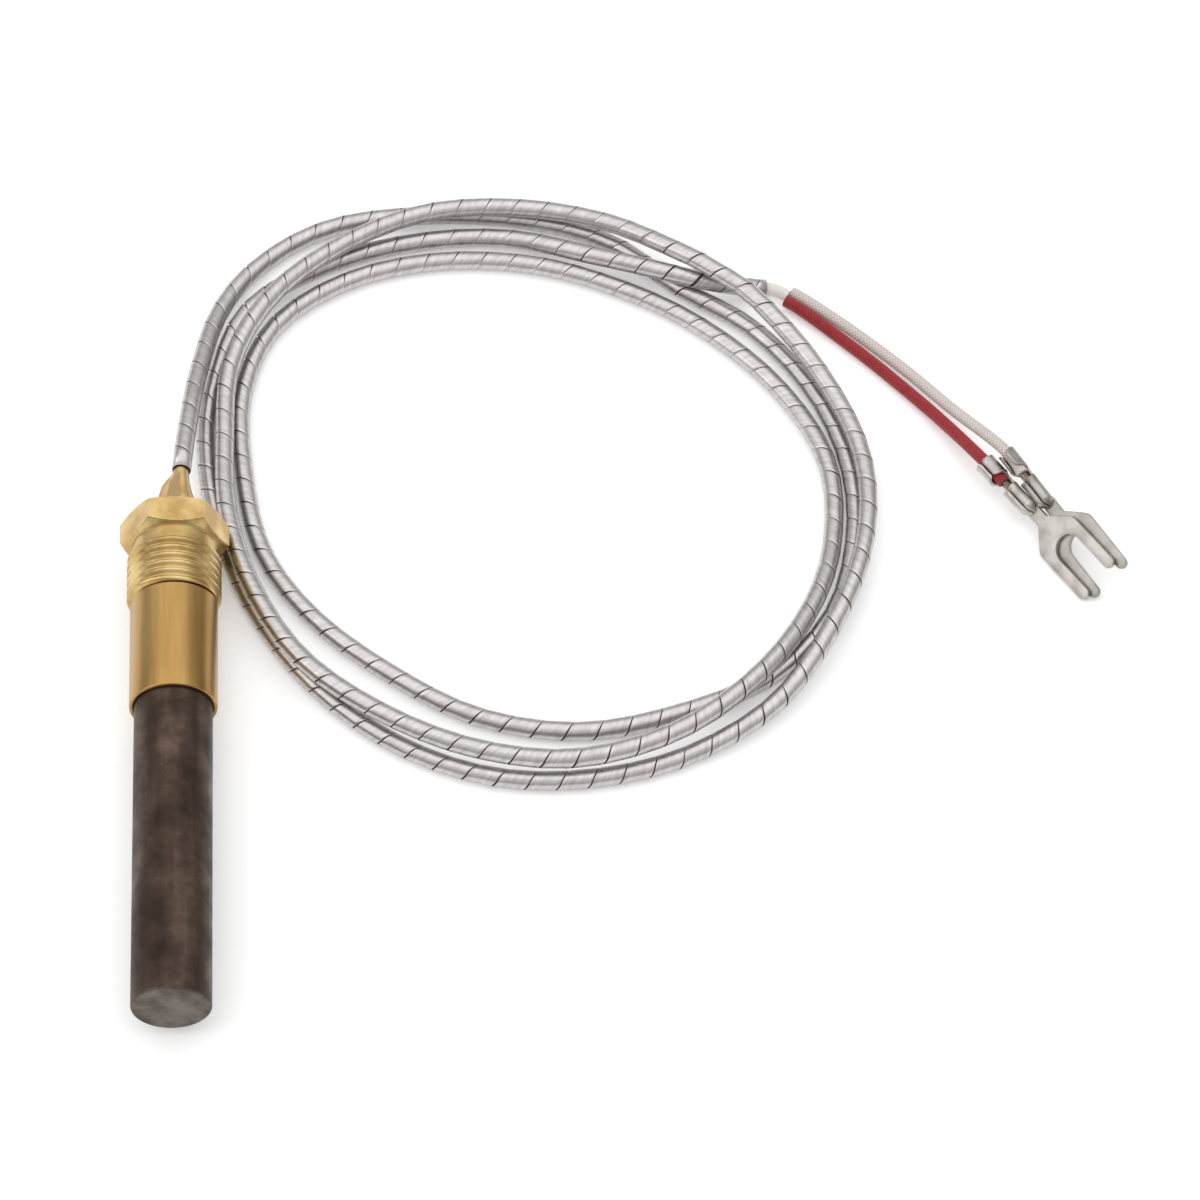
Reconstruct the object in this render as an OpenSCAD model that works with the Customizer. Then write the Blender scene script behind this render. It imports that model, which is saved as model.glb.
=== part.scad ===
// Thermopile gas-flame generator with a threaded adapter, a spiral armoured lead and two fork terminals.
// Origin: on the probe's axis, at the front face of the hexagon. The hot tip points to -Y, +Z is up,
// and the armoured lead leaves to +Y. The object lies on the level floor_z.

/* [Hot tube] */
// Outer diameter of the hot tube
hot_tube_d = 10.3; // [9:0.1:12.5]
// Wall of the hot tube
hot_tube_wall = 0.5; // [0.3:0.05:0.8]
// Length of hot tube that shows in front of the brass sleeve
hot_tube_len = 45.3; // [36:0.1:56]
// Radius of the rounded rim at the hot tip
tip_rim_r = 0.5; // [0.2:0.05:1]
// Length of hot tube pressed into the brass sleeve
tube_overlap = 8; // [5:0.5:12]

/* [Brass sleeve] */
// Wall of the brass sleeve
sleeve_wall = 0.65; // [0.4:0.05:1]
// Length of brass sleeve that shows in front of the thread
sleeve_len = 16.5; // [13:0.1:20]
// Length of the pinched neck behind the hexagon
neck_len = 8.9; // [7:0.1:11]
// Outer diameter of the neck where it leaves the hexagon
neck_base_d = 4.2; // [3.6:0.1:4.6]
// Diameter of the neck where it grips the armour
neck_tip_d = 2; // [1.8:0.1:2.4]
// Sideways shift of the neck's end from the probe's axis
neck_shift = 1; // [0:0.1:1.2]

/* [Adapter] */
// Diameter over the thread crests
thread_d = 12.6; // [12.5:0.1:15.2]
// Depth of the thread
thread_depth = 0.6; // [0.4:0.05:0.8]
// Length of the thread in front of the hexagon
thread_len = 9.2; // [7:0.1:12]
// Size across the flats of the hexagon
hex_af = 12.7; // [12.6:0.1:15.9]
// Thickness of the hexagon
hex_len = 4.1; // [3:0.1:6]
// Turn of the hexagon about the probe's axis
hex_turn = -5.5; // [-10:0.5:10]

/* [Thermopile] */
// Number of thermocouple junctions in series
junctions = 24; // [12:1:26]
// Diameter of the outer legs
outer_leg_d = 0.6; // [0.4:0.05:0.7]
// Diameter of the inner legs
inner_leg_d = 0.45; // [0.3:0.05:0.5]
// Thickness of the mica wrap round the legs
wrap_t = 0.2; // [0.1:0.05:0.3]
// Thickness of the junction tabs and of the straps
tab_t = 0.4; // [0.2:0.05:0.6]
// Diameter of the two tail wires
tail_d = 0.5; // [0.4:0.05:0.55]

/* [Armoured lead] */
// Outer diameter of the spiral armour
armour_d = 2.6; // [2.4:0.1:2.8]
// Outer diameter of the woven glass sleeve at the end of the armour
glass_sleeve_d = 2.3; // [2:0.1:2.6]
// Diameter of the red braided lead
red_lead_d = 1.75; // [1.4:0.05:1.9]
// Diameter of the white braided lead
white_lead_d = 1.65; // [1.4:0.05:1.9]
// Diameter of the bare stranded conductors
conductor_d = 0.9; // [0.6:0.05:1]

/* [Fork terminals] */
// Width over the two prongs
fork_w = 7.2; // [6.2:0.1:8.4]
// Width of the slot between the prongs
fork_slot = 4; // [3.2:0.1:4.6]
// Length of the flat fork
fork_len = 14.3; // [12:0.1:16]
// Length of the slot, from its round root to the tips
slot_len = 8.6; // [7:0.1:10]
// Thickness of the terminal's sheet metal
plate_t = 0.7; // [0.5:0.05:0.8]
// Outer diameter of the crimp on the insulation
grip_d = 2.6; // [2.5:0.05:2.7]
// Length of the crimp on the insulation
grip_len = 3.2; // [2.4:0.1:3.6]
// Outer diameter of the crimp on the conductor
barrel_d = 2.1; // [1.8:0.05:2.2]
// Length of the crimp on the conductor
barrel_len = 5; // [4:0.1:6]
// Gap between the two crimps
window_len = 2.1; // [1.5:0.1:2.5]
// Lean of both terminals about their own length
fork_roll = 46; // [30:1:60]

/* [Hidden] */
$fn = 48;
clear = 0.1;
fit = 0.02;
// Least brass between the thread's root and the stem, and least width of the shoulder under the hot tube
thread_wall = 0.9;
shoulder_w = 0.35;
// Length of the taper from the stem to the neck
stem_back = 1.2;
// Length of each fork's root that lies under its barrel
root_lap = 0.5;

// Stations along the probe, counted from the hexagon's front face towards the tip
sleeve_front = thread_len + sleeve_len;
tube_back = sleeve_front - tube_overlap;
tip_end = sleeve_front + hot_tube_len;
tip_inside = tip_end - hot_tube_wall;
neck_end = hex_len + neck_len;

// Radii from the outside in
tube_r = hot_tube_d/2;
tube_bore_r = tube_r - hot_tube_wall;
sleeve_r = tube_r + sleeve_wall;
stem_r = min(thread_d/2 - thread_depth - thread_wall, tube_r - shoulder_w);
stem_bore_r = stem_r - sleeve_wall;
wrap_r = tube_bore_r - clear;
outer_ring_r = wrap_r - wrap_t - clear - outer_leg_d/2;
divider_r = outer_ring_r - outer_leg_d/2 - clear;
inner_ring_r = divider_r - wrap_t - clear - inner_leg_d/2;
core_r = inner_ring_r - inner_leg_d/2 - clear;
tab_w = 1.6*(inner_ring_r - inner_leg_d/2)*tan(180/junctions);

// Stations of the thermopile inside the tube
tip_disc_t = 1.5;
cold_disc_t = 1;
hot_station = tip_inside - clear - tip_disc_t - clear - tab_t;
cold_station = tube_back + cold_disc_t + clear + tab_t + clear;
plug_back = 1;

// Level of the surface that everything lies on, below the axis: the lowest corner of the hexagon
floor_z = -hex_af/2/cos(30)*cos(30 + hex_turn);

// Route of the armour: x, y and height above its lying level, from the neck's end onwards
armour_route = [
    [1.5, 20, 4.8], [3, 31.5, 3.2], [6, 44, 1], [12, 53, 0], [22, 59, 0],
    [35.5, 60.5, 0], [49, 59, 0], [60.5, 54.5, 0], [70, 46, 0], [80, 38, 0],
    [87.5, 27, 0], [91.5, 14.5, 0], [91.5, 1.5, 0], [87.5, -11, 0], [78.5, -20.5, 0],
    [65.5, -26, 0], [52.5, -28, 0], [39.5, -25, 0], [28, -17.5, 0], [18, -8, 0],
    [11.5, 3, 0], [9, 16.5, 0], [9, 30, 0], [13.5, 41.5, 0], [23.5, 49, 0],
    [36, 52, 0], [49, 51, 0], [61, 46.5, 0], [72.5, 39, 0], [82.5, 28, 0],
    [88.5, 15, 0], [88.5, 1.5, 0.2], [84.5, -11, 1.6], [76.5, -22.5, 3], [65.5, -30.5, 2.9],
    [52.5, -34, 2.8], [39.5, -32, 2.8], [27.5, -26, 2.8], [17, -17, 2.8], [10.5, -5.5, 2.7],
    [7, 7.5, 2.3], [6.5, 20.5, 1.9], [7.5, 33.5, 2.3], [13, 44.5, 2.9], [22.5, 53, 2.9],
    [34.5, 58.5, 2.9], [47.5, 59, 2.9], [60, 55.5, 3.4], [70, 48.5, 5], [75, 44.5, 5.3],
    [80.5, 39.5, 4.8], [88, 28.5, 3.2], [93, 15, 2.6], [93, 1.5, 2.8], [88.5, -12, 2.8],
    [79.5, -25, 1.2], [67, -32.5, 0], [54, -35.5, 0], [41, -34.5, 0], [29, -29, 0],
    [18.5, -19.5, 0], [11, -8, 0], [6.5, 4, 0], [4, 17, 0], [4.5, 30, 0],
    [9.5, 44, 0], [19.5, 51.5, 0], [32.5, 55.5, 0], [46, 55.5, 0.4], [58.5, 50.5, 2],
    [67, 47, 2.8], [72.5, 45.2, 2.6], [77.5, 45, 1.2], [82, 45.2, 0]
];
armour_rings = len(armour_route) + 1;

// Woven glass sleeve that the two leads come out of, from the armour's end
glass_route = [[82, 45.2, 0], [83.7, 44.7, 0], [85.3, 43.6, 0]];
glass_rings = 3;

// Routes of the two leads, from the glass sleeve onwards: x, y and height above their lying level
red_route = [[84.8, 42.9, 0.4], [86.8, 41.4, 0.3], [92, 36.3, 0], [98.5, 29.1, 0], [104.5, 21.3, 0.6]];
white_route = [[85.8, 44.3, 0.5], [87.8, 42.8, 0.4], [93.5, 37.8, 0], [100.5, 30.2, 0.3], [106.5, 22.1, 1.4]];
lead_rings = 7;
cord_sides = 8;

// Rear end and direction of the red lead's terminal, seen from above. Its lower prong stands on the floor.
red_at = [110.9, 12.3];
red_yaw = -57.3;
red_rise = fork_w/2*sin(fork_roll);

// Place of the white lead's terminal, flat against the back of the red one
white_shift = [1, 2.85];
white_turn = -4.6;
white_drop = plate_t + 0.05;

// Stations along a terminal, from its rear end
barrel_start = grip_len + window_len;
barrel_end = barrel_start + barrel_len;
lead_end = grip_len + 0.7;
fork_end = barrel_end + fork_len - root_lap;

// A place on the red terminal: along its length, across it and above its flat
function on_red(along, across, up) =
    let (flat = across*cos(fork_roll) - up*sin(fork_roll))
    [red_at[0] + along*cos(red_yaw) - flat*sin(red_yaw),
     red_at[1] + along*sin(red_yaw) + flat*cos(red_yaw),
     floor_z + red_rise + across*sin(fork_roll) + up*cos(fork_roll)];

// A place on the white terminal
function on_white(along, across, up) =
    on_red(white_shift[0] + along*cos(white_turn) - across*sin(white_turn),
           white_shift[1] + along*sin(white_turn) + across*cos(white_turn), up - white_drop);

// Points of a route at their true heights
function lying(route, d) = [for (p = route) [p[0], p[1], floor_z + d/2 + p[2]]];

// Smooth curve through the points of a path, at u counted in points
function on_path(path, u) =
    let (last = len(path) - 1,
         i = min(floor(u), last - 1),
         t = u - i,
         a = path[max(i - 1, 0)],
         b = path[i],
         c = path[i + 1],
         d = path[min(i + 2, last)])
    0.5*(2*b + (c - a)*t + (2*a - 5*b + 4*c - d)*t*t + (3*b - a - 3*c + d)*t*t*t);

function unit(v) = v/norm(v);

// Ring of a cord round the point at u, square to the path
function ring(path, u, r) =
    let (step = 0.02,
         last = len(path) - 1,
         along = unit(on_path(path, min(u + step, last)) - on_path(path, max(u - step, 0))),
         side = unit(cross(along, [0, 0, 1])),
         up = cross(side, along),
         centre = on_path(path, u))
    [for (k = [0:cord_sides - 1])
        let (a = (k + 0.5)*360/cord_sides)
        centre + r*(cos(a)*side + sin(a)*up)];

// Solid cord of one thickness along a path
module cord(path, d, rings) {
    last = len(path) - 1;
    points = [for (i = [0:rings - 1]) each ring(path, i*last/(rings - 1), d/2)];
    walls = [for (i = [0:rings - 2], k = [0:cord_sides - 1])
        let (a = i*cord_sides + k, b = i*cord_sides + (k + 1)%cord_sides)
        each [[a, b, a + cord_sides], [b, b + cord_sides, a + cord_sides]]];
    start = [[for (k = [cord_sides - 1:-1:0]) k]];
    end = [[for (k = [0:cord_sides - 1]) (rings - 1)*cord_sides + k]];
    polyhedron(points, concat(walls, start, end));
}

// Round rod from one point to another
module rod(from, to, d) {
    v = to - from;
    translate(from)
        rotate([0, acos(v[2]/norm(v)), atan2(v[1], v[0])])
            cylinder(d = d, h = norm(v), $fn = 24);
}

// Turns a profile of radius and station into a piece about the probe's axis
module turned(profile) {
    rotate([90, 0, 0])
        rotate_extrude()
            polygon(profile);
}

// Plain ring or disc between two stations
module barrel(from, to, r, bore = 0) {
    rotate([90, 0, 0])
        translate([0, 0, from])
            difference() {
                cylinder(r = r, h = to - from);
                if (bore > 0)
                    translate([0, 0, -1])
                        cylinder(r = bore, h = to - from + 2);
            }
}

module hot_tube() {
    color([0.29, 0.24, 0.21])
        rotate([90, 0, 0])
            rotate_extrude()
                difference() {
                    union() {
                        translate([0, tube_back])
                            square([tube_r, tip_end - tip_rim_r - tube_back]);
                        translate([0, tip_end - tip_rim_r - 0.1])
                            square([tube_r - tip_rim_r, tip_rim_r + 0.1]);
                        translate([tube_r - tip_rim_r, tip_end - tip_rim_r])
                            intersection() {
                                circle(r = tip_rim_r, $fn = 32);
                                square(tip_rim_r);
                            }
                    }
                    translate([-1, tube_back - 1])
                        square([tube_bore_r + 1, tip_inside - tube_back + 1]);
                }
}

module cold_sleeve() {
    bore_r = tube_r + fit;
    color([0.74, 0.6, 0.36])
        difference() {
            union() {
                turned([[0, sleeve_front], [sleeve_r - 0.3, sleeve_front], [sleeve_r, sleeve_front - 0.3],
                        [sleeve_r, thread_len + fit], [stem_r, thread_len + fit], [stem_r, 0],
                        [neck_base_d/2, -stem_back], [neck_base_d/2, -hex_len], [0, -hex_len]]);
                hull() {
                    translate([0, hex_len - 0.4, 0])
                        rotate([-90, 0, 0])
                            cylinder(d = neck_base_d, h = 0.4, $fn = 32);
                    translate([neck_shift, neck_end - 0.4, 0])
                        rotate([-90, 0, 0])
                            cylinder(d = neck_tip_d, h = 0.4, $fn = 32);
                }
                pinched_fin();
            }
            barrel(tube_back, sleeve_front + 1, bore_r);
            turned([[0, tube_back + 1], [stem_bore_r, tube_back + 1], [stem_bore_r, plug_back],
                    [0.8, 0], [0, 0]]);
            rod([0, -0.5, 0], [neck_shift*0.95, neck_end + 0.5, 0], 1.4);
        }
}

// Flat fin that the pinching tool leaves on one side of the neck
module pinched_fin() {
    fin_t = 1;
    translate([0, 0, -fin_t/2])
        linear_extrude(fin_t)
            polygon([[0, hex_len - 0.2], [-neck_base_d/2 - 0.1, hex_len - 0.2], [-neck_base_d/2, hex_len + 0.6],
                     [neck_shift - neck_tip_d/2, neck_end - 0.6], [neck_shift, neck_end - 0.6]]);
}

module adapter() {
    crest_r = thread_d/2;
    corner_r = hex_af/2/cos(30);
    lead_in = 0.35;
    color([0.87, 0.76, 0.52])
        difference() {
            union() {
                intersection() {
                    rotate([-90, 0, 0])
                        rotate([0, 0, -hex_turn])
                            cylinder(r = corner_r, h = hex_len, $fn = 6);
                    turned([[0, 0], [hex_af/2 - 0.15, 0], [corner_r, -0.62], [corner_r + 0.1, -0.62],
                            [corner_r + 0.1, 0.45 - hex_len], [corner_r, 0.45 - hex_len],
                            [hex_af/2 - 0.1, -hex_len], [0, -hex_len]]);
                }
                turned([[0, -0.5], [crest_r, -0.5], [crest_r, thread_len - lead_in],
                        [crest_r - lead_in, thread_len], [0, thread_len]]);
            }
            barrel(0, thread_len + 1, stem_r + clear);
            turned([[0, clear], [stem_r + clear, clear], [stem_r + clear, -clear],
                    [neck_base_d/2 + clear, -stem_back - clear],
                    [neck_base_d/2 + clear, -hex_len - 1], [0, -hex_len - 1]]);
        }
}

// Parallel legs of the thermopile, in a ring
module legs(ring_r, d) {
    rotate([90, 0, 0])
        for (i = [0:junctions - 1])
            rotate([0, 0, i*360/junctions])
                translate([ring_r, 0, cold_station])
                    cylinder(d = d, h = hot_station - cold_station, $fn = 16);
}

module outer_legs() {
    color([0.62, 0.6, 0.57])
        legs(outer_ring_r, outer_leg_d);
}

module inner_legs() {
    color([0.7, 0.62, 0.5])
        legs(inner_ring_r, inner_leg_d);
}

// Welded tabs, each joining an outer leg to the inner leg beside it
module hot_junctions() {
    color([0.5, 0.48, 0.46])
        rotate([90, 0, 0])
            for (i = [0:junctions - 1])
                rotate([0, 0, i*360/junctions])
                    translate([inner_ring_r - inner_leg_d/2, -tab_w/2, hot_station])
                        cube([outer_ring_r - inner_ring_r + (inner_leg_d + outer_leg_d)/2, tab_w, tab_t]);
}

// Straps, each joining an inner leg to the next outer leg, with one place left open for the tails
module cold_junctions() {
    pitch = 360/junctions;
    reach = [outer_ring_r*cos(pitch) - inner_ring_r, outer_ring_r*sin(pitch)];
    color([0.5, 0.48, 0.46])
        rotate([90, 0, 0])
            for (i = [0:junctions - 2])
                rotate([0, 0, i*pitch])
                    translate([inner_ring_r, 0, cold_station - tab_t])
                        rotate([0, 0, atan2(reach[1], reach[0])])
                            translate([-0.1, -tab_w/4, 0])
                                cube([norm(reach) + 0.2, tab_w/2, tab_t]);
}

module core_rod() {
    color([0.9, 0.88, 0.82])
        barrel(cold_station, hot_station - clear, core_r);
}

module leg_divider() {
    color([0.78, 0.74, 0.62])
        barrel(cold_station + clear, hot_station - clear, divider_r, divider_r - wrap_t);
}

module mica_wrap() {
    color([0.78, 0.74, 0.62])
        barrel(tube_back + 0.5, tip_inside - clear, wrap_r, wrap_r - wrap_t);
}

module tip_disc() {
    color([0.9, 0.88, 0.82])
        barrel(tip_inside - clear - tip_disc_t, tip_inside - clear, wrap_r - wrap_t - clear);
}

// Ends of the pile that the tails are welded to, and their way back to the neck
positive_start = [outer_ring_r, -cold_station, 0];
negative_start = [inner_ring_r*cos(360/junctions), -cold_station, inner_ring_r*sin(360/junctions)];
// The tails draw in together to pass down the stem, which is narrower than the pile
plug_entry_r = stem_bore_r - 1.3*tail_d;
draw_in = plug_entry_r/outer_ring_r;
function plug_point(start) = [start[0]*draw_in, -tube_back + 0.5, start[2]*draw_in];
function neck_point(side) = [0.1, 0.3, side*(tail_d/2 + 0.05)];
function neck_exit(side) = [neck_shift*0.95, neck_end - 0.2, side*(tail_d/2 + 0.05)];

// Tail wire from the pile, through the plug and along the neck
module tail(start, side, d) {
    rod(start, plug_point(start), d);
    translate(plug_point(start))
        sphere(d = 1.15*d, $fn = 24);
    rod(plug_point(start), neck_point(side), d);
    translate(neck_point(side))
        sphere(d = 1.15*d, $fn = 24);
    rod(neck_point(side), neck_exit(side), d);
}

module positive_tail() {
    color([0.62, 0.6, 0.57])
        tail(positive_start, -1, tail_d);
}

module negative_tail() {
    color([0.7, 0.62, 0.5])
        tail(negative_start, 1, tail_d);
}

// Holes for both tails through a piece
module tail_holes() {
    tail(positive_start, -1, tail_d + fit);
    tail(negative_start, 1, tail_d + fit);
}

module cold_disc() {
    color([0.9, 0.88, 0.82])
        difference() {
            barrel(cold_station - tab_t - clear - cold_disc_t, cold_station - tab_t - clear,
                   wrap_r - wrap_t - clear);
            tail_holes();
        }
}

module cement_plug() {
    color([0.8, 0.78, 0.72])
        difference() {
            barrel(plug_back + 0.2, tube_back + clear/2, stem_bore_r - fit);
            tail_holes();
        }
}

module armour() {
    start = [[neck_shift, neck_end, 0]];
    color([0.78, 0.78, 0.79])
        cord(concat(start, lying(armour_route, armour_d)), armour_d, armour_rings);
}

module glass_sleeve() {
    color([0.9, 0.88, 0.86])
        cord(lying(glass_route, armour_d), glass_sleeve_d, glass_rings);
}

// Each lead's own route, then straight into its terminal's crimp
red_path = concat(lying(red_route, red_lead_d),
                  [for (along = [-1.2, lead_end]) on_red(along, 0, grip_d/2)]);
white_path = concat(lying(white_route, white_lead_d),
                    [for (along = [-1.2, lead_end]) on_white(along, 0, grip_d/2)]);

module red_lead() {
    color([0.72, 0.13, 0.14])
        cord(red_path, red_lead_d, lead_rings);
}

module white_lead() {
    color([0.84, 0.8, 0.77])
        cord(white_path, white_lead_d, lead_rings);
}

// Puts a terminal's own frame where the red terminal lies
module red_place() {
    translate([red_at[0], red_at[1], floor_z + red_rise])
        rotate([fork_roll, 0, red_yaw])
            children();
}

// Puts a terminal's own frame where the white terminal lies
module white_place() {
    red_place()
        translate([white_shift[0], white_shift[1], -white_drop])
            rotate([0, 0, white_turn])
                children();
}

// Bare conductor from the lead's end, through the crimp
module conductor() {
    color([0.8, 0.78, 0.74])
        translate([lead_end + fit, 0, barrel_d/2])
            rotate([0, 90, 0])
                cylinder(d = conductor_d, h = barrel_end - root_lap - lead_end - fit, $fn = 24);
}

module red_conductor() {
    red_place()
        conductor();
}

module white_conductor() {
    white_place()
        conductor();
}

// Short tube along a terminal
module crimp(from, length, d, bore) {
    translate([from, 0, d/2])
        rotate([0, 90, 0])
            difference() {
                cylinder(d = d, h = length);
                translate([0, 0, -1])
                    cylinder(d = bore, h = length + 2);
            }
}

// Outline of the flat fork: a narrow root, two prongs with round tips and a slot with a round root
module fork_outline() {
    prong_w = (fork_w - fork_slot)/2;
    waist = barrel_d*0.43;
    shoulder = fork_end - slot_len - 0.6;
    root = fork_end - slot_len + fork_slot/2;
    difference() {
        union() {
            polygon([[barrel_end - root_lap, -waist], [barrel_end + 1.5, -waist], [shoulder, -fork_w/2],
                     [fork_end - prong_w/2, -fork_w/2], [fork_end - prong_w/2, fork_w/2],
                     [shoulder, fork_w/2], [barrel_end + 1.5, waist], [barrel_end - root_lap, waist]]);
            for (side = [-1, 1])
                translate([fork_end - prong_w/2, side*(fork_w - prong_w)/2])
                    circle(d = prong_w, $fn = 32);
        }
        translate([root, 0])
            circle(d = fork_slot, $fn = 32);
        translate([root, -fork_slot/2])
            square([fork_len, fork_slot]);
    }
}

// Fork terminal in its own frame: length along X, flat side down
module fork_terminal(lead_d) {
    color([0.8, 0.77, 0.74]) {
        crimp(0, grip_len, grip_d, lead_d + 2*fit);
        crimp(barrel_start, barrel_len, barrel_d, conductor_d + 2*fit);
        translate([grip_len - 0.3, -0.6, 0])
            cube([window_len + 0.6, 1.2, 0.35]);
        linear_extrude(plate_t)
            fork_outline();
    }
}

module red_terminal() {
    red_place()
        fork_terminal(red_lead_d);
}

module white_terminal() {
    white_place()
        fork_terminal(white_lead_d);
}

hot_tube();
cold_sleeve();
adapter();
outer_legs();
inner_legs();
hot_junctions();
cold_junctions();
core_rod();
leg_divider();
mica_wrap();
tip_disc();
cold_disc();
cement_plug();
positive_tail();
negative_tail();
armour();
glass_sleeve();
red_lead();
white_lead();
red_conductor();
white_conductor();
red_terminal();
white_terminal();
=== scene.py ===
import math

import bmesh
import bpy
from mathutils import Matrix, Vector


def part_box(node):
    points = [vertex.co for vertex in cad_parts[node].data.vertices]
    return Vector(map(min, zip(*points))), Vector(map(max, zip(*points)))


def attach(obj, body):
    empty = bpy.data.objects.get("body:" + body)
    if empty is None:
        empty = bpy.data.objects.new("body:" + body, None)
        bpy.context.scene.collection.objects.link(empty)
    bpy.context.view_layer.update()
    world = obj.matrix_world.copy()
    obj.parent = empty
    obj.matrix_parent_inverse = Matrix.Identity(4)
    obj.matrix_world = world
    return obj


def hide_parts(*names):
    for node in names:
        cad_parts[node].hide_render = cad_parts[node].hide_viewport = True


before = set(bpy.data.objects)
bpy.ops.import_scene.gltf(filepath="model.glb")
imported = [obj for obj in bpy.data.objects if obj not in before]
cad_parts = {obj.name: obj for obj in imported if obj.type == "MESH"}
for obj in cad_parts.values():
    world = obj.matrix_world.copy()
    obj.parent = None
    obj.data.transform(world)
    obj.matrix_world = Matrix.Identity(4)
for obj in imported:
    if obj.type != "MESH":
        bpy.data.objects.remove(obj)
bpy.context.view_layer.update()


# ---------------------------------------------------------------------------
# Camera: it looks down on the bench at 55 degrees, from the side of the hot tip.
# ---------------------------------------------------------------------------
camera_data = bpy.data.cameras.new("camera")
camera_data.sensor_width = 36
camera_data.lens = 147.8
camera = bpy.data.objects.new("camera", camera_data)
bpy.context.scene.collection.objects.link(camera)
camera.location = (0.04011, -0.38559, 0.53573)
elevation, azimuth = math.radians(55), math.radians(2.5)
sight = Vector((math.sin(azimuth)*math.cos(elevation), math.cos(azimuth)*math.cos(elevation),
                -math.sin(elevation)))
camera.rotation_euler = sight.to_track_quat("-Z", "Y").to_euler()
bpy.context.scene.camera = camera


# ---------------------------------------------------------------------------
# Spiral armour: an aluminium strip wound edge to edge round the two wires, left-handed.
# It is pushed against the pinched end of the brass neck, and lies on the bench in a loose coil
# of a little over three turns. On the outside of a bend the strip's edges stand apart.
# ---------------------------------------------------------------------------
mm = 0.001
bench_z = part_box("adapter")[0][2]
armour_d = 2.6*mm
strip_pitch = 4.05*mm
strip_gap = 0.03*mm
strip_samples = 24

# x, y and height above the lying level, in millimetres
armour_route = [
    [1.5, 20, 4.8], [3, 31.5, 3.2], [6, 44, 1], [12, 53, 0], [22, 59, 0],
    [35.5, 60.5, 0], [49, 59, 0], [60.5, 54.5, 0], [70, 46, 0], [80, 38, 0],
    [87.5, 27, 0], [91.5, 14.5, 0], [91.5, 1.5, 0], [87.5, -11, 0], [78.5, -20.5, 0],
    [65.5, -26, 0], [52.5, -28, 0], [39.5, -25, 0], [28, -17.5, 0], [18, -8, 0],
    [11.5, 3, 0], [9, 16.5, 0], [9, 30, 0], [13.5, 41.5, 0], [23.5, 49, 0],
    [36, 52, 0], [49, 51, 0], [61, 46.5, 0], [72.5, 39, 0], [82.5, 28, 0],
    [88.5, 15, 0], [88.5, 1.5, 0.2], [84.5, -11, 1.6], [76.5, -22.5, 3], [65.5, -30.5, 2.9],
    [52.5, -34, 2.8], [39.5, -32, 2.8], [27.5, -26, 2.8], [17, -17, 2.8], [10.5, -5.5, 2.7],
    [7, 7.5, 2.3], [6.5, 20.5, 1.9], [7.5, 33.5, 2.3], [13, 44.5, 2.9], [22.5, 53, 2.9],
    [34.5, 58.5, 2.9], [47.5, 59, 2.9], [60, 55.5, 3.4], [70, 48.5, 5], [75, 44.5, 5.3],
    [80.5, 39.5, 4.8], [88, 28.5, 3.2], [93, 15, 2.6], [93, 1.5, 2.8], [88.5, -12, 2.8],
    [79.5, -25, 1.2], [67, -32.5, 0], [54, -35.5, 0], [41, -34.5, 0], [29, -29, 0],
    [18.5, -19.5, 0], [11, -8, 0], [6.5, 4, 0], [4, 17, 0], [4.5, 30, 0],
    [9.5, 44, 0], [19.5, 51.5, 0], [32.5, 55.5, 0], [46, 55.5, 0.4], [58.5, 50.5, 2],
    [67, 47, 2.8], [72.5, 45.2, 2.6], [77.5, 45, 1.2], [82, 45.2, 0],
]


def lying(route, diameter):
    """Points of a route at their true heights, in metres."""
    return [Vector((x*mm, y*mm, bench_z + diameter/2 + h*mm)) for x, y, h in route]


def smooth_line(points, lowest, step, passes):
    """Evenly spaced points of one smooth curve through the given points, none under the lowest level."""
    dense = []
    last = len(points) - 1
    for i in range(last):
        a, b = points[max(i - 1, 0)], points[i]
        c, d = points[i + 1], points[min(i + 2, last)]
        for k in range(24):
            t = k/24
            dense.append(0.5*(2*b + (c - a)*t + (2*a - 5*b + 4*c - d)*t*t + (3*b - a - 3*c + d)*t*t*t))
    dense.append(points[-1].copy())
    reach = [0.0]
    for p, q in zip(dense, dense[1:]):
        reach.append(reach[-1] + (q - p).length)
    count = max(4, round(reach[-1]/step))
    line, j = [], 0
    for i in range(count + 1):
        s = reach[-1]*i/count
        while j < len(dense) - 2 and reach[j + 1] < s:
            j += 1
        line.append(dense[j].lerp(dense[j + 1], (s - reach[j])/(reach[j + 1] - reach[j])))
    for _ in range(passes):
        line = [line[0]] + [(line[i - 1] + 2*line[i] + line[i + 1])/4 for i in range(1, count)] + [line[-1]]
    for p in line:
        p.z = max(p.z, lowest)
    return line


def line_frames(line):
    """Distance, place, direction, side and up at each point of a line."""
    frames, s = [], 0.0
    for i, p in enumerate(line):
        along = (line[min(i + 1, len(line) - 1)] - line[max(i - 1, 0)]).normalized()
        side = along.cross(Vector((0, 0, 1))).normalized()
        if i:
            s += (p - line[i - 1]).length
        frames.append((s, p, along, side, side.cross(along)))
    return frames


def frame_at(frames, s):
    """Place, direction, side and up at a distance along a line."""
    step = frames[-1][0]/(len(frames) - 1)
    i = min(max(int(s/step), 0), len(frames) - 2)
    a, b = frames[i], frames[i + 1]
    t = (s - a[0])/(b[0] - a[0])
    return [a[k].lerp(b[k], t) for k in range(1, 5)]


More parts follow.
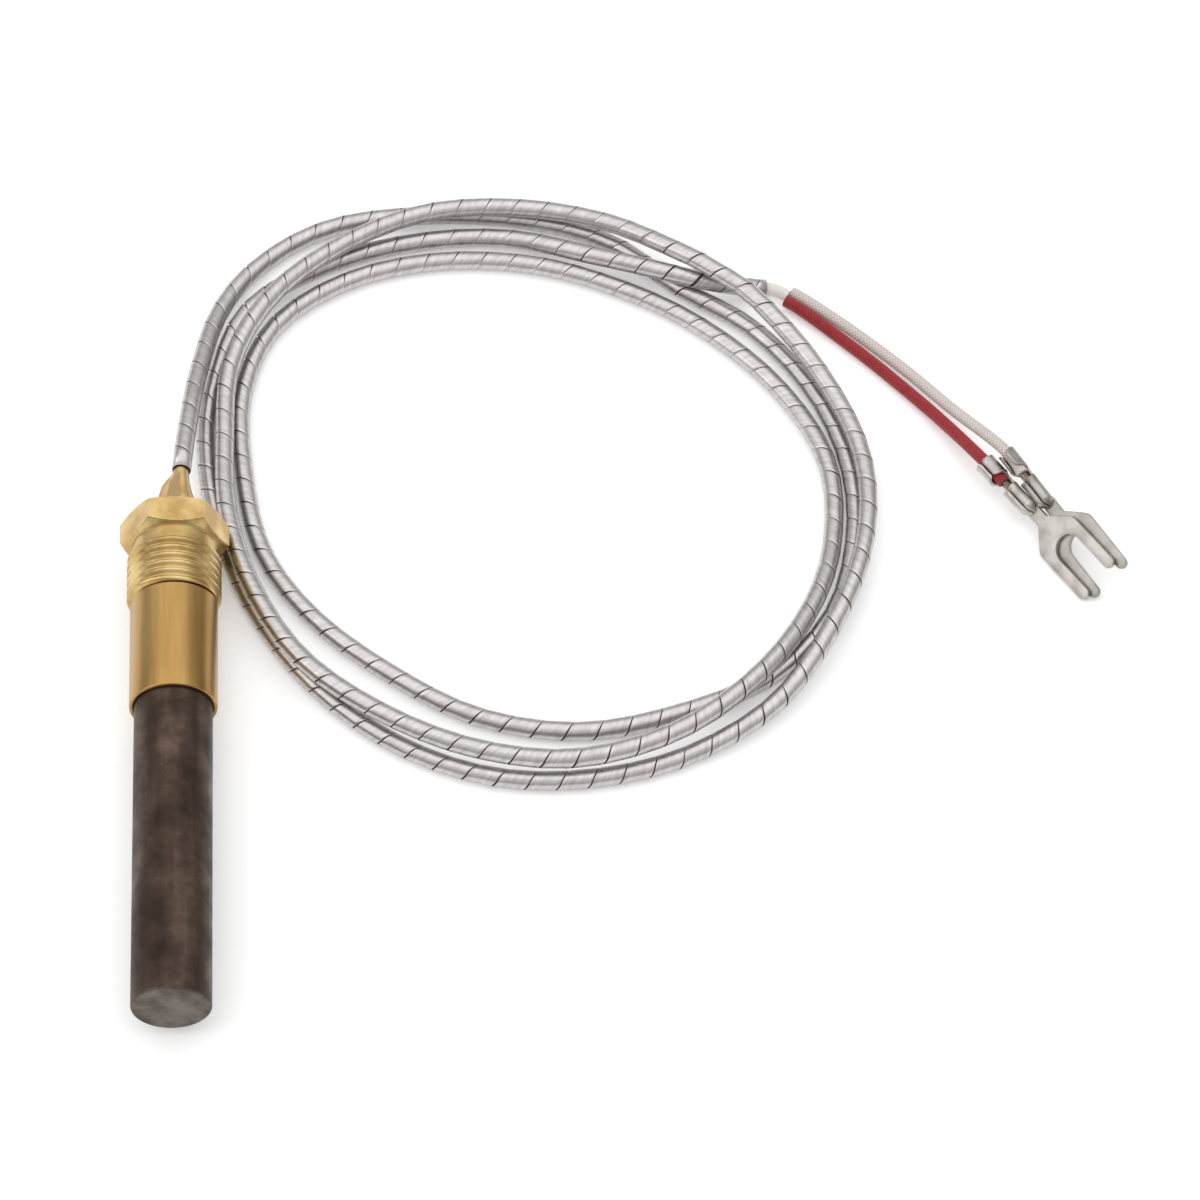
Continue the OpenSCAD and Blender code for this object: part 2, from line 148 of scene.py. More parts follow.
def skin(name, columns, along, around, closed=True):
    """A solid whose skin joins each column of points to the next. Its UV map runs along and
    around, in the units it is given."""
    bm = bmesh.new()
    layer = bm.loops.layers.uv.new("UVMap")
    rows = [[bm.verts.new(p) for p in column] for column in columns]
    n = len(rows[0])
    for i in range(len(rows) - 1):
        for k in range(n):
            ring = [(i, k), (i, k + 1), (i + 1, k + 1), (i + 1, k)]
            face = bm.faces.new([rows[r][c % n] for r, c in ring])
            face.smooth = True
            for loop, (r, c) in zip(face.loops, ring):
                loop[layer].uv = (along[r], around[c])
    if closed:
        bm.faces.new(rows[0])
        bm.faces.new(rows[-1][::-1])
    bmesh.ops.dissolve_degenerate(bm, dist=1e-8, edges=bm.edges)
    bmesh.ops.recalc_face_normals(bm, faces=bm.faces)
    mesh = bpy.data.meshes.new(name)
    bm.to_mesh(mesh)
    bm.free()
    piece = bpy.data.objects.new(name, mesh)
    bpy.context.scene.collection.objects.link(piece)
    return piece


def round_cord(name, line, radius, sides, step):
    """A plain round cord along a line."""
    frames = line_frames(line)
    length = frames[-1][0]
    count = round(length/step)
    columns = []
    for i in range(count + 1):
        place, _, side, up = frame_at(frames, length*i/count)
        columns.append([place + radius*(math.cos(a)*side + math.sin(a)*up)
                        for a in (2*math.pi*k/sides for k in range(sides))])
    return skin(name, columns, [length*i/count for i in range(count + 1)],
                [2*math.pi*radius*k/sides for k in range(sides + 1)])


def colour(hex_value):
    """Linear colour of an sRGB hex value."""
    channels = [int(hex_value[i:i + 2], 16)/255 for i in (1, 3, 5)]
    return [c/12.92 if c <= 0.04045 else ((c + 0.055)/1.055)**2.4 for c in channels] + [1]


def add_node(material, kind, inputs=None, links=None, **settings):
    """Adds a node with its settings, fixed inputs and links from other nodes' outputs."""
    node = material.node_tree.nodes.new(kind)
    for key, value in settings.items():
        setattr(node, key, value)
    for key, value in (inputs or {}).items():
        node.inputs[key].default_value = value
    for key, socket in (links or {}).items():
        material.node_tree.links.new(socket, node.inputs[key])
    return node


def new_material(name, base, metallic, roughness):
    """A material with its own shader, whose named sockets are then set or linked."""
    material = bpy.data.materials.new(name)
    material.use_nodes = True
    shader = material.node_tree.nodes["Principled BSDF"]
    shader.inputs["Base Color"].default_value = colour(base)
    shader.inputs["Metallic"].default_value = metallic
    shader.inputs["Roughness"].default_value = roughness
    return material, shader


def link(material, output, socket):
    material.node_tree.links.new(output, socket)


def ramp_stops(ramp, stops):
    """Sets a colour ramp's stops from pairs of place and sRGB hex value."""
    elements = ramp.color_ramp.elements
    while len(elements) < len(stops):
        elements.new(0.5)
    for element, (place, value) in zip(elements, stops):
        element.position = place
        element.color = colour(value)


def put_on(piece, material, slot, *nodes):
    """Gives a finished piece its material, lets it ride on the part and stand for its CAD nodes. The slot is
    not used."""
    piece.data.materials.clear()
    piece.data.materials.append(material)
    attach(piece, "root")
    if nodes:
        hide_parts(*nodes)


neck_end = Vector((0.85*mm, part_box("cold_sleeve")[1][1], 0))
armour_line = smooth_line([neck_end] + lying(armour_route, armour_d), bench_z + armour_d/2, 0.5*mm, 12)
armour_frames = line_frames(armour_line)
armour_length = armour_frames[-1][0]

# One turn's cross-section: distance across the strip and distance from the armour's axis, in millimetres
half = (strip_pitch - strip_gap)/mm/2
strip_section = [
    (-half, 1.2), (-half + 0.04, 1.265), (-half + 0.12, 1.295), (-half + 0.4, 1.3), (half - 0.4, 1.3),
    (half - 0.12, 1.295), (half - 0.04, 1.265), (half, 1.2), (half - 0.1, 1.1), (-half + 0.1, 1.1),
]
strip_start, strip_stop = -half*mm*0.98, armour_length + half*mm*0.98
strip_count = round((strip_stop - strip_start)/strip_pitch*strip_samples)
strip_columns, strip_along = [], []
for i in range(strip_count + 1):
    s = strip_start + (strip_stop - strip_start)*i/strip_count
    centre = min(max(s, 0), armour_length)
    turn = 2*math.pi*s/strip_pitch
    place, along, side, up = frame_at(armour_frames, centre)
    out = math.cos(turn)*side + math.sin(turn)*up
    # the first and last turns are cut square with the armour's ends
    strip_columns.append([place + along*(min(max(s + a*mm, 0), armour_length) - centre) + out*r*mm
                          for a, r in strip_section])
    strip_along.append(s/strip_pitch*math.hypot(strip_pitch, math.pi*armour_d))
across = [(a + half)/(2*half) for a, r in strip_section]
armour = skin("armour_strip", strip_columns, strip_along, across[:8] + [1, 0, 0])

# Wound aluminium strip: rolled bright, then handled, so it is softly clouded, with painted shade along its
# edges where the seams between the turns lie
strip_metal, shader = new_material("rolled_aluminium_strip", "#D5CDCE", 1.0, 0.33)
strip_uv = add_node(strip_metal, "ShaderNodeUVMap", uv_map="UVMap")
strip_map = add_node(strip_metal, "ShaderNodeMapping", {"Scale": (420, 7, 1)},
                     {"Vector": strip_uv.outputs["UV"]})
strip_lines = add_node(strip_metal, "ShaderNodeTexNoise", {"Scale": 1.0, "Detail": 3},
                       {"Vector": strip_map.outputs["Vector"]})
strip_tone = add_node(strip_metal, "ShaderNodeValToRGB", links={"Fac": strip_lines.outputs["Fac"]})
ramp_stops(strip_tone, [(0.3, "#B3AFAE"), (0.52, "#C3BFBE"), (0.72, "#D0CCCA")])
strip_v = add_node(strip_metal, "ShaderNodeSeparateXYZ", links={"Vector": strip_uv.outputs["UV"]})
# painted shade: the strip darkens towards both its edges, standing in for the shade in the seams between
# turns
strip_seam_shade = add_node(strip_metal, "ShaderNodeValToRGB", links={"Fac": strip_v.outputs["Y"]})
ramp_stops(strip_seam_shade, [(0.0, "#8C817C"), (0.01, "#B5ACA8"), (0.022, "#FFFFFF"), (0.978, "#FFFFFF"),
                        (0.99, "#B5ACA8"), (1.0, "#8C817C")])
strip_mix = add_node(strip_metal, "ShaderNodeMix", {"Factor": 1.0}, data_type="RGBA", blend_type="MULTIPLY")
link(strip_metal, strip_tone.outputs["Color"], strip_mix.inputs[6])
link(strip_metal, strip_seam_shade.outputs["Color"], strip_mix.inputs[7])
link(strip_metal, strip_mix.outputs[2], shader.inputs["Base Color"])
strip_bump = add_node(strip_metal, "ShaderNodeBump", {"Strength": 0.06, "Distance": 0.00004},
                      {"Height": strip_lines.outputs["Fac"]})
link(strip_metal, strip_bump.outputs["Normal"], shader.inputs["Normal"])
put_on(armour, strip_metal, "armour_strip", "armour")

# Painted shade inside the armour: a dark brown cord that shows through the gaps between the strip's edges
inside_line = armour_line[2:-5]
inside_r = 1.06*mm
inside = round_cord("armour_inside", inside_line, inside_r, 12, 1.5*mm)
inner_shade, shader = new_material("painted_shade_inner_cord", "#6B5B52", 0.0, 0.8)
put_on(inside, inner_shade, "white_glass")


# ---------------------------------------------------------------------------
# Glass-fibre sleeve: a short white sleeve that comes out of the armour's end round both wires
# and keeps them off the strip's cut edge. It narrows where the two braids begin.
# ---------------------------------------------------------------------------
glass_route = [[82, 45.2, 0], [83.7, 44.7, 0], [85.3, 43.6, 0]]
glass_line = smooth_line(lying(glass_route, armour_d), bench_z, 0.1*mm, 4)
glass_frames = line_frames(glass_line)
glass_length = glass_frames[-1][0]
glass_columns = []
glass_count, glass_sides = 40, 32
glass_r, glass_taper, glass_ripple = 0.95, 0.1, 0.015
for i in range(glass_count + 1):
    s = glass_length*i/glass_count
    place, _, side, up = frame_at(glass_frames, s)
    radius = (glass_r - glass_taper*s/glass_length + glass_ripple*math.sin(s/mm*9))*mm
    glass_columns.append([place + radius*(math.cos(a)*side + math.sin(a)*up)
                          for a in (2*math.pi*k/glass_sides for k in range(glass_sides))])
glass_sleeve = skin("glass_sleeve_braid", glass_columns,
                    [glass_length*i/glass_count for i in range(glass_count + 1)],
                    [2*math.pi*glass_r*mm*k/glass_sides for k in range(glass_sides + 1)])
white_sleeve, shader = new_material("white_glass_sleeving", "#E6E0DC", 0.0, 0.7)
put_on(glass_sleeve, white_sleeve, "white_glass", "glass_sleeve")


# ---------------------------------------------------------------------------
# Braided wires: one red and one white glass-fibre braid, each round a stranded conductor.
# They leave the glass sleeve side by side and run into the crimps of their terminals.
# ---------------------------------------------------------------------------
red_d, white_d = 1.75*mm, 1.65*mm
red_route = [[84.8, 42.9, 0.4], [86.8, 41.4, 0.3], [92, 36.3, 0], [98.5, 29.1, 0], [104.5, 21.3, 0.6]]
white_route = [[85.8, 44.3, 0.5], [87.8, 42.8, 0.4], [93.5, 37.8, 0], [100.5, 30.2, 0.3], [106.5, 22.1, 1.4]]

# Sizes of a terminal along its own length, in millimetres
grip_len, window_len, barrel_len, fork_len, slot_len = 3.2, 2.1, 5.0, 14.3, 8.6
grip_d, barrel_d, plate_t, fork_w, fork_slot = 2.6, 2.1, 0.7, 7.2, 4.0
lead_bare, root_lap, plate_gap = 0.7, 0.5, 0.05
barrel_start = grip_len + window_len
barrel_end = barrel_start + barrel_len
fork_end = barrel_end + fork_len - root_lap
lead_end = grip_len + lead_bare
fork_roll = math.radians(46)
red_place = (Matrix.Translation((110.9*mm, 12.3*mm, bench_z + fork_w/2*mm*math.sin(fork_roll)))
             @ Matrix.Rotation(math.radians(-57.3), 4, "Z") @ Matrix.Rotation(fork_roll, 4, "X")
             @ Matrix.Scale(mm, 4))
white_place = (red_place @ Matrix.Translation((1, 2.85, -plate_t - plate_gap))
               @ Matrix.Rotation(math.radians(-4.6), 4, "Z"))


def braid(name, line, diameter, carriers, lay_length):
    """A braided cord: yarns wind both ways and pass over and under each other."""
    frames = line_frames(line)
    length = frames[-1][0]
    sides, step, depth, under = 48, 0.09*mm, 0.07*mm, 0.6
    count = round(length/step)
    columns, heights = [], []
    for i in range(count + 1):
        s = length*i/count
        place, _, side, up = frame_at(frames, s)
        column = []
        for k in range(sides):
            f = carriers*(k/sides + s/lay_length)
            g = carriers*(k/sides - s/lay_length)
            over = (math.floor(f) + math.floor(g)) % 2
            first = abs(math.sin(math.pi*f))*(1 if over else under)
            second = abs(math.sin(math.pi*g))*(under if over else 1)
            height = max(first, second)
            heights.append(height)
            a = 2*math.pi*k/sides
            column.append(place + (diameter/2 - depth*(1 - height))*(math.cos(a)*side + math.sin(a)*up))
        columns.append(column)
    piece = skin(name, columns, [length*i/count for i in range(count + 1)],
                 [math.pi*diameter*k/sides for k in range(sides + 1)])
    shade = piece.data.attributes.new("yarn", "FLOAT", "POINT")
    shade.data.foreach_set("value", heights)
    return piece


def braid_material(name, gap_shade, yarn, crest, fleck, fleck_share):
    """Braided glass fibre: soft and matt, with painted shade between the yarns and a painted highlight on
    their crests, and with flecks of bare or stained yarn.
    """
    material, shader = new_material(name, yarn, 0.0, 0.75)
    height = add_node(material, "ShaderNodeAttribute", attribute_name="yarn")
    tone = add_node(material, "ShaderNodeValToRGB", links={"Fac": height.outputs["Fac"]})
    # painted shade and highlight: darker where the yarns lie low, lighter on their crests
    ramp_stops(tone, [(0.3, gap_shade), (0.65, yarn), (0.98, crest)])
    place = add_node(material, "ShaderNodeTexCoord")
    spots = add_node(material, "ShaderNodeTexNoise", {"Scale": 900.0, "Detail": 4},
                     {"Vector": place.outputs["Object"]})
    share = add_node(material, "ShaderNodeValToRGB", links={"Fac": spots.outputs["Fac"]})
    ramp_stops(share, [(0.5, "#000000"), (0.72, fleck_share)])
    mix = add_node(material, "ShaderNodeMix", data_type="RGBA")
    mix.inputs[7].default_value = colour(fleck)
    link(material, share.outputs["Color"], mix.inputs["Factor"])
    link(material, tone.outputs["Color"], mix.inputs[6])
    link(material, mix.outputs[2], shader.inputs["Base Color"])
    shader.inputs["Sheen Weight"].default_value = 0.25
    return material


red_braid = braid_material("red_glass_braid", "#6E0F16", "#96171F", "#A8242A", "#580D12", "#A8A8A8")
white_braid = braid_material("white_glass_braid", "#AFA49E", "#CDC3BD", "#DDD5D0", "#D3A9A5", "#A0A0A0")
leads = []
for name, route, diameter, spot, material, slot in (
        ("red", red_route, red_d, red_place, red_braid, "red_glass"),
        ("white", white_route, white_d, white_place, white_braid, "white_glass")):
    into = [spot @ Vector((a, 0, grip_d/2)) for a in (-1.2, lead_end)]
    line = smooth_line(lying(route, diameter) + into, bench_z + diameter/2, 0.25*mm, 12)
    piece = braid(name + "_braid", line, diameter, 8, 4.4*mm)
    put_on(piece, material, slot, name + "_lead")
    leads.append((piece, line, diameter))


# ---------------------------------------------------------------------------
# Hot tube: a drawn heat-resisting steel tube, closed at the tip by a flat welded disc. It has
# been fired, so it is oxidised dark brown. It is pressed into the brass sleeve.
# ---------------------------------------------------------------------------
def turned(name, profile, steps, closed=False):
    """A piece turned about the probe's axis. The profile gives radius and distance towards the
    tip, in millimetres."""
    bm = bmesh.new()
    verts = [bm.verts.new((r*mm, -s*mm, 0)) for r, s in profile]
    pairs = list(zip(verts, verts[1:])) + ([(verts[-1], verts[0])] if closed else [])
    edges = [bm.edges.new(pair) for pair in pairs]
    bmesh.ops.spin(bm, geom=verts + edges, cent=(0, 0, 0), axis=(0, 1, 0), angle=2*math.pi, steps=steps,
                   use_merge=True)
    bmesh.ops.remove_doubles(bm, verts=bm.verts, dist=1e-7)
    bmesh.ops.recalc_face_normals(bm, faces=bm.faces)
    return bm


def finish_piece(name, bm, sharp=40):
    """Makes a bmesh a piece, smooth except at its sharp edges."""
    for face in bm.faces:
        face.smooth = True
    for edge in bm.edges:
        if len(edge.link_faces) == 2 and edge.calc_face_angle(0) > math.radians(sharp):
            edge.smooth = False
    mesh = bpy.data.meshes.new(name)
    bm.to_mesh(mesh)
    bm.free()
    piece = bpy.data.objects.new(name, mesh)
    bpy.context.scene.collection.objects.link(piece)
    return piece


def arc(centre_r, centre_s, radius, start, end, count):
    """Points of a profile along a round corner, between two angles in degrees."""
    return [(centre_r + radius*math.cos(math.radians(a)), centre_s + radius*math.sin(math.radians(a)))
            for a in (start + (end - start)*i/count for i in range(count + 1))]


tube_r, tube_wall, sleeve_front, hot_len, tube_overlap = 5.15, 0.5, 25.7, 45.3, 8
tip_end = sleeve_front + hot_len
tube_profile = [(0, tip_end - 0.06), (1.2, tip_end - 0.03), (4.3, tip_end)]
tube_profile += arc(tube_r - 0.45, tip_end - 0.45, 0.45, 90, 0, 8)
tube_profile += [(tube_r, tip_end - 2 - 2.5*i) for i in range(20)]
tube_profile += [(tube_r, sleeve_front - tube_overlap), (tube_r - tube_wall, sleeve_front - tube_overlap),
                 (tube_r - tube_wall, tip_end - tube_wall), (0, tip_end - tube_wall)]
hot_tube = finish_piece("hot_tube_oxidised", turned("hot_tube", tube_profile, 128))

# Oxidised steel: brown-black scale in soft streaks and blotches. The disc at the tip, which
# stands in the flame, is burnt to a paler grey.
oxide, shader = new_material("oxidised_heat_resisting_steel", "#5C4A3E", 0.8, 0.46)
oxide_place = add_node(oxide, "ShaderNodeTexCoord")
oxide_map = add_node(oxide, "ShaderNodeMapping", {"Scale": (420, 40, 420)},
                     {"Vector": oxide_place.outputs["Object"]})
oxide_streaks = add_node(oxide, "ShaderNodeTexNoise", {"Scale": 1.0, "Detail": 5},
                         {"Vector": oxide_map.outputs["Vector"]})
# blotches of scale, about 5 mm across, with ragged edges
oxide_scale = add_node(oxide, "ShaderNodeTexNoise", {"Scale": 190.0, "Detail": 8, "Roughness": 0.62},
                       {"Vector": oxide_place.outputs["Object"]})
oxide_blend = add_node(oxide, "ShaderNodeMix", {"Factor": 0.6},
                       {"A": oxide_streaks.outputs["Fac"], "B": oxide_scale.outputs["Fac"]})
oxide_tone = add_node(oxide, "ShaderNodeValToRGB", links={"Fac": oxide_blend.outputs["Result"]})
oxide_rough = add_node(oxide, "ShaderNodeMapRange",
                       {"From Min": 0.3, "From Max": 0.7, "To Min": 0.62, "To Max": 0.36},
                       {"Value": oxide_scale.outputs["Fac"]})
link(oxide, oxide_rough.outputs["Result"], shader.inputs["Roughness"])
ramp_stops(oxide_tone, [(0.34, "#34281F"), (0.5, "#483930"), (0.66, "#66544A")])
oxide_split = add_node(oxide, "ShaderNodeSeparateXYZ", links={"Vector": oxide_place.outputs["Object"]})
tip_share = add_node(oxide, "ShaderNodeMapRange",
                     {"From Min": (0.35 - tip_end)*mm, "From Max": (0.05 - tip_end)*mm},
                     {"Value": oxide_split.outputs["Y"]})
oxide_mix = add_node(oxide, "ShaderNodeMix", links={"Factor": tip_share.outputs["Result"]}, data_type="RGBA")
tip_tone = add_node(oxide, "ShaderNodeValToRGB", links={"Fac": oxide_scale.outputs["Fac"]})
ramp_stops(tip_tone, [(0.34, "#423B35"), (0.5, "#59514A"), (0.62, "#6F675F")])
link(oxide, tip_tone.outputs["Color"], oxide_mix.inputs[7])
link(oxide, oxide_tone.outputs["Color"], oxide_mix.inputs[6])
link(oxide, oxide_mix.outputs[2], shader.inputs["Base Color"])
oxide_grain = add_node(oxide, "ShaderNodeTexNoise", {"Scale": 2500.0, "Detail": 3},
                       {"Vector": oxide_place.outputs["Object"]})
oxide_bump = add_node(oxide, "ShaderNodeBump", {"Strength": 0.25, "Distance": 0.00003},
                      {"Height": oxide_grain.outputs["Fac"]})
link(oxide, oxide_bump.outputs["Normal"], shader.inputs["Normal"])
put_on(hot_tube, oxide, "heat_steel", "hot_tube")


# ---------------------------------------------------------------------------
# Brass sleeve: drawn in one piece. Its wide front holds the hot tube, its narrow stem runs back
# through the adapter, and its tail is pinched into a neck that grips the two tail wires.
# ---------------------------------------------------------------------------
sleeve_r, stem_r, hex_len, neck_len = 5.8, 4.8, 4.1, 8.9
neck_base_r, stem_back = 2.1, 1.2
thread_len = 9.2
sleeve_profile = [(tube_r + 0.02, sleeve_front - tube_overlap), (tube_r + 0.02, sleeve_front - 0.1)]
sleeve_profile += [(tube_r + 0.12, sleeve_front)] + arc(sleeve_r - 0.25, sleeve_front - 0.25, 0.25, 90, 0, 5)
sleeve_profile += [(sleeve_r, sleeve_front - 3 - 3*i) for i in range(4)]
sleeve_profile += [(sleeve_r, thread_len + 0.3), (sleeve_r - 0.3, thread_len + 0.05),
                   (stem_r, thread_len + 0.05),
                   (stem_r, 0), (neck_base_r, -stem_back), (neck_base_r, -hex_len)]
neck_rings = 24
for i in range(1, neck_rings + 1):
    sleeve_profile.append((neck_base_r - 1.1*i/neck_rings, -hex_len - neck_len*i/neck_rings))
sleeve_profile += [(0.65, -hex_len - neck_len), (0.65, -2), (2, 1), (stem_r - 0.65, 1),
                   (stem_r - 0.65, sleeve_front - tube_overlap)]
sleeve_bm = turned("cold_sleeve", sleeve_profile, 96, closed=True)


def between(t, stops):
    """A value that runs straight from each (place, value) stop to the next."""
    for (t0, v0), (t1, v1) in zip(stops, stops[1:]):
        if t <= t1:
            return v0 + (v1 - v0)*max(0, t - t0)/(t1 - t0)
    return stops[-1][1]


# The pinched neck along its length, from the hexagon to the armour, in millimetres: how far its
# fin and its ridge reach to each side, and half its height
fin_reach = [(0, -2.75), (0.38, -2.6), (0.5, -2.3), (0.72, -1.75), (0.84, -1.05), (0.91, -0.4), (1, -0.15)]
ridge_reach = [(0, 2.95), (0.38, 2.8), (0.55, 2.35), (0.75, 1.98), (1, 1.8)]
ridge_middle = [(0, 1.05), (1, 0.85)]
ridge_height = [(0, 1.9), (0.4, 1.8), (0.6, 1.35), (1, 1.0)]
fin_thinning = [(0, 0.25), (0.3, 0.65), (0.85, 0.65), (0.93, 0.1), (1, 0)]
for vert in sleeve_bm.verts:
    back = -hex_len + vert.co.y/mm
    if back < 0.01:
        continue
    t = back/neck_len
    middle = between(t, ridge_middle)
    if math.hypot(vert.co.x, vert.co.z)/mm > 0.7:
        a = math.atan2(vert.co.z, vert.co.x)
        reach = between(t, ridge_reach if math.cos(a) > 0 else fin_reach) - middle
        # a crease where the fin leaves the ridge
        thin = between(t, fin_thinning)*min(1, max(0, -1.6*math.cos(a)))
        vert.co.x = (middle + abs(reach)*math.cos(a))*mm
        vert.co.z = between(t, ridge_height)*math.sin(a)*(1 - thin)*mm
    else:
        vert.co.x += middle*mm
cold_sleeve = finish_piece("cold_sleeve_drawn", sleeve_bm, 50)

# Drawn brass, tinted orange by the flame: long soft bands along it
drawn_brass, shader = new_material("heat_tinted_drawn_brass", "#BC9458", 1.0, 0.3)
brass_place = add_node(drawn_brass, "ShaderNodeTexCoord")
brass_map = add_node(drawn_brass, "ShaderNodeMapping", {"Scale": (300, 22, 300)},
                     {"Vector": brass_place.outputs["Object"]})
brass_bands = add_node(drawn_brass, "ShaderNodeTexNoise", {"Scale": 1.0, "Detail": 4},
                       {"Vector": brass_map.outputs["Vector"]})
brass_tone = add_node(drawn_brass, "ShaderNodeValToRGB", links={"Fac": brass_bands.outputs["Fac"]})
ramp_stops(brass_tone, [(0.32, "#957442"), (0.5, "#AF8B54"), (0.68, "#C2A067")])
# the neck lies behind the hexagon, out of the heat, and has kept a paler gold
brass_split = add_node(drawn_brass, "ShaderNodeSeparateXYZ", links={"Vector": brass_place.outputs["Object"]})
neck_share = add_node(drawn_brass, "ShaderNodeMapRange",
                      {"From Min": (hex_len - 0.5)*mm, "From Max": hex_len*mm},
                      {"Value": brass_split.outputs["Y"]})
brass_mix = add_node(drawn_brass, "ShaderNodeMix", links={"Factor": neck_share.outputs["Result"]},
                     data_type="RGBA")
brass_mix.inputs[7].default_value = colour("#E0BE88")
link(drawn_brass, brass_tone.outputs["Color"], brass_mix.inputs[6])
link(drawn_brass, brass_mix.outputs[2], shader.inputs["Base Color"])
put_on(cold_sleeve, drawn_brass, "sleeve_brass", "cold_sleeve")


# ---------------------------------------------------------------------------
# Adapter: turned from hexagon brass bar, chamfered on both faces, with a relief groove behind
# the thread. It sits on the sleeve's stem, between the sleeve's shoulder and the pinched neck.
# ---------------------------------------------------------------------------
thread_r, thread_depth, thread_pitch, relief_len = 6.3, 0.5, 1.27, 1.9
hex_af, hex_turn = 12.7, math.radians(-5.5)
corner_r = hex_af/2/math.cos(math.radians(30))
chamfer, chamfer_len, relief_r = 1.3, 0.75, 6
# clear of the stem all round and behind its taper
stem_gap, bore_r, bore_step = 0.1, 2.3, 1.35
adapter_profile = [(stem_r + stem_gap, thread_len), (thread_r - 1, thread_len)]
thread_rings = 220
adapter_profile += [(thread_r, thread_len - thread_len*i/thread_rings) for i in range(thread_rings)]
adapter_profile += [(relief_r, 0)] + [(corner_r - chamfer*(1 - i/8), -chamfer_len*i/8) for i in range(9)]
adapter_profile += [(corner_r, -chamfer_len - (hex_len - 0.5 - chamfer_len)*i/6) for i in range(1, 7)]
adapter_profile += [(corner_r - 0.9*i/8, -hex_len + 0.5 - 0.5*i/8) for i in range(1, 9)]
adapter_profile += [(bore_r, -hex_len), (bore_r, -bore_step), (stem_r + stem_gap, -stem_gap)]
adapter_bm = turned("adapter", adapter_profile, 192, closed=True)
for vert in adapter_bm.verts:
    s = -vert.co.y/mm
    r = math.hypot(vert.co.x, vert.co.z)/mm
    if s <= 0.001 and r > 6.305:
        # the six flats
        a = math.atan2(vert.co.z, vert.co.x) - hex_turn
        from_flat = a % math.radians(60) - math.radians(30)
        flat = hex_af/2/math.cos(from_flat)
        keep = min(r, flat)
    elif s > 0.001 and r > thread_r - 0.01:
        # the right-hand thread, with round crests, fading out at both ends
        a = math.atan2(vert.co.x, vert.co.z)
        phase = (s/thread_pitch - a/(2*math.pi)) % 1
        crest = 0.5 + 0.5*math.cos(2*math.pi*phase)
        crest = min(1, crest*1.1)**0.9
        start = min(max((s - relief_len)/0.5, 0), 1)
        lead_in = min(max((thread_len - s)/0.7, 0), 1)
        keep = thread_r - thread_depth*(1 - crest*start)
        keep -= 0.35*(1 - lead_in)
        if s < 0.25:
            keep = max(keep, 5.7 + 0.3*(1 - s/0.25))
    else:
        continue
    vert.co.x *= keep/r
    vert.co.z *= keep/r
bmesh.ops.recalc_face_normals(adapter_bm, faces=adapter_bm.faces)
adapter = finish_piece("adapter_threaded", adapter_bm, 28)

# Machined brass: pale gold and bright, with fine rings left by the cutting tool, about 0.15 mm
# apart, which blur the highlight round the piece, and faint cloudy tarnish
cut_brass, shader = new_material("machined_brass", "#E1C491", 1.0, 0.3)
cut_place = add_node(cut_brass, "ShaderNodeTexCoord")
tarnish = add_node(cut_brass, "ShaderNodeTexNoise", {"Scale": 260.0, "Detail": 4},
                   {"Vector": cut_place.outputs["Object"]})
cut_tone = add_node(cut_brass, "ShaderNodeValToRGB", links={"Fac": tarnish.outputs["Fac"]})
ramp_stops(cut_tone, [(0.36, "#B2945C"), (0.5, "#C9AC74"), (0.64, "#DBC08A")])
link(cut_brass, cut_tone.outputs["Color"], shader.inputs["Base Color"])
cut_map = add_node(cut_brass, "ShaderNodeMapping", {"Scale": (30, 6500, 30)},
                   {"Vector": cut_place.outputs["Object"]})
tool_rings = add_node(cut_brass, "ShaderNodeTexNoise", {"Scale": 1.0, "Detail": 2},
                      {"Vector": cut_map.outputs["Vector"]})
cut_bump = add_node(cut_brass, "ShaderNodeBump", {"Strength": 0.1, "Distance": 0.00002},
                    {"Height": tool_rings.outputs["Fac"]})
link(cut_brass, cut_bump.outputs["Normal"], shader.inputs["Normal"])
put_on(adapter, cut_brass, "adapter_brass", "adapter")


# ---------------------------------------------------------------------------
# Thermopile inside the tube: rings of legs welded in pairs, on a ceramic rod, wrapped in mica
# and potted with cement. All of it is hidden, so the CAD solids keep their shape.
# ---------------------------------------------------------------------------
leg_alloy, _ = new_material("bare_thermocouple_wire", "#9A958C", 1.0, 0.4)
fired_ceramic, _ = new_material("unglazed_ceramic", "#E6E0D0", 0.0, 0.8)
pressed_mica, _ = new_material("pressed_mica", "#C6BC9C", 0.0, 0.5)
for material, nodes in (
        (leg_alloy,
         ("outer_legs", "inner_legs", "hot_junctions", "cold_junctions", "positive_tail", "negative_tail")),
        (fired_ceramic, ("core_rod", "tip_disc", "cold_disc", "cement_plug")),
        (pressed_mica, ("leg_divider", "mica_wrap"))):
    for node in nodes:
        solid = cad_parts[node]
        solid.data.materials.clear()
        solid.data.materials.append(material)


# ---------------------------------------------------------------------------
# Bare conductors: seven tinned copper strands, twisted together, which the braid leaves bare
# between the two crimps of each terminal.
# ---------------------------------------------------------------------------
strand_r, strand_lay, strand_count = 0.15*mm, 9*mm, 7
crimp_end = barrel_end - 1.1
conductor_end = crimp_end - 0.4


def joined(name, pieces):
    """One piece from several."""
    bm = bmesh.new()
    for piece in pieces:
        bm.from_mesh(piece.data)
        bpy.data.objects.remove(piece)
    mesh = bpy.data.meshes.new(name)
    bm.to_mesh(mesh)
    bm.free()
    whole = bpy.data.objects.new(name, mesh)
    bpy.context.scene.collection.objects.link(whole)
    return whole


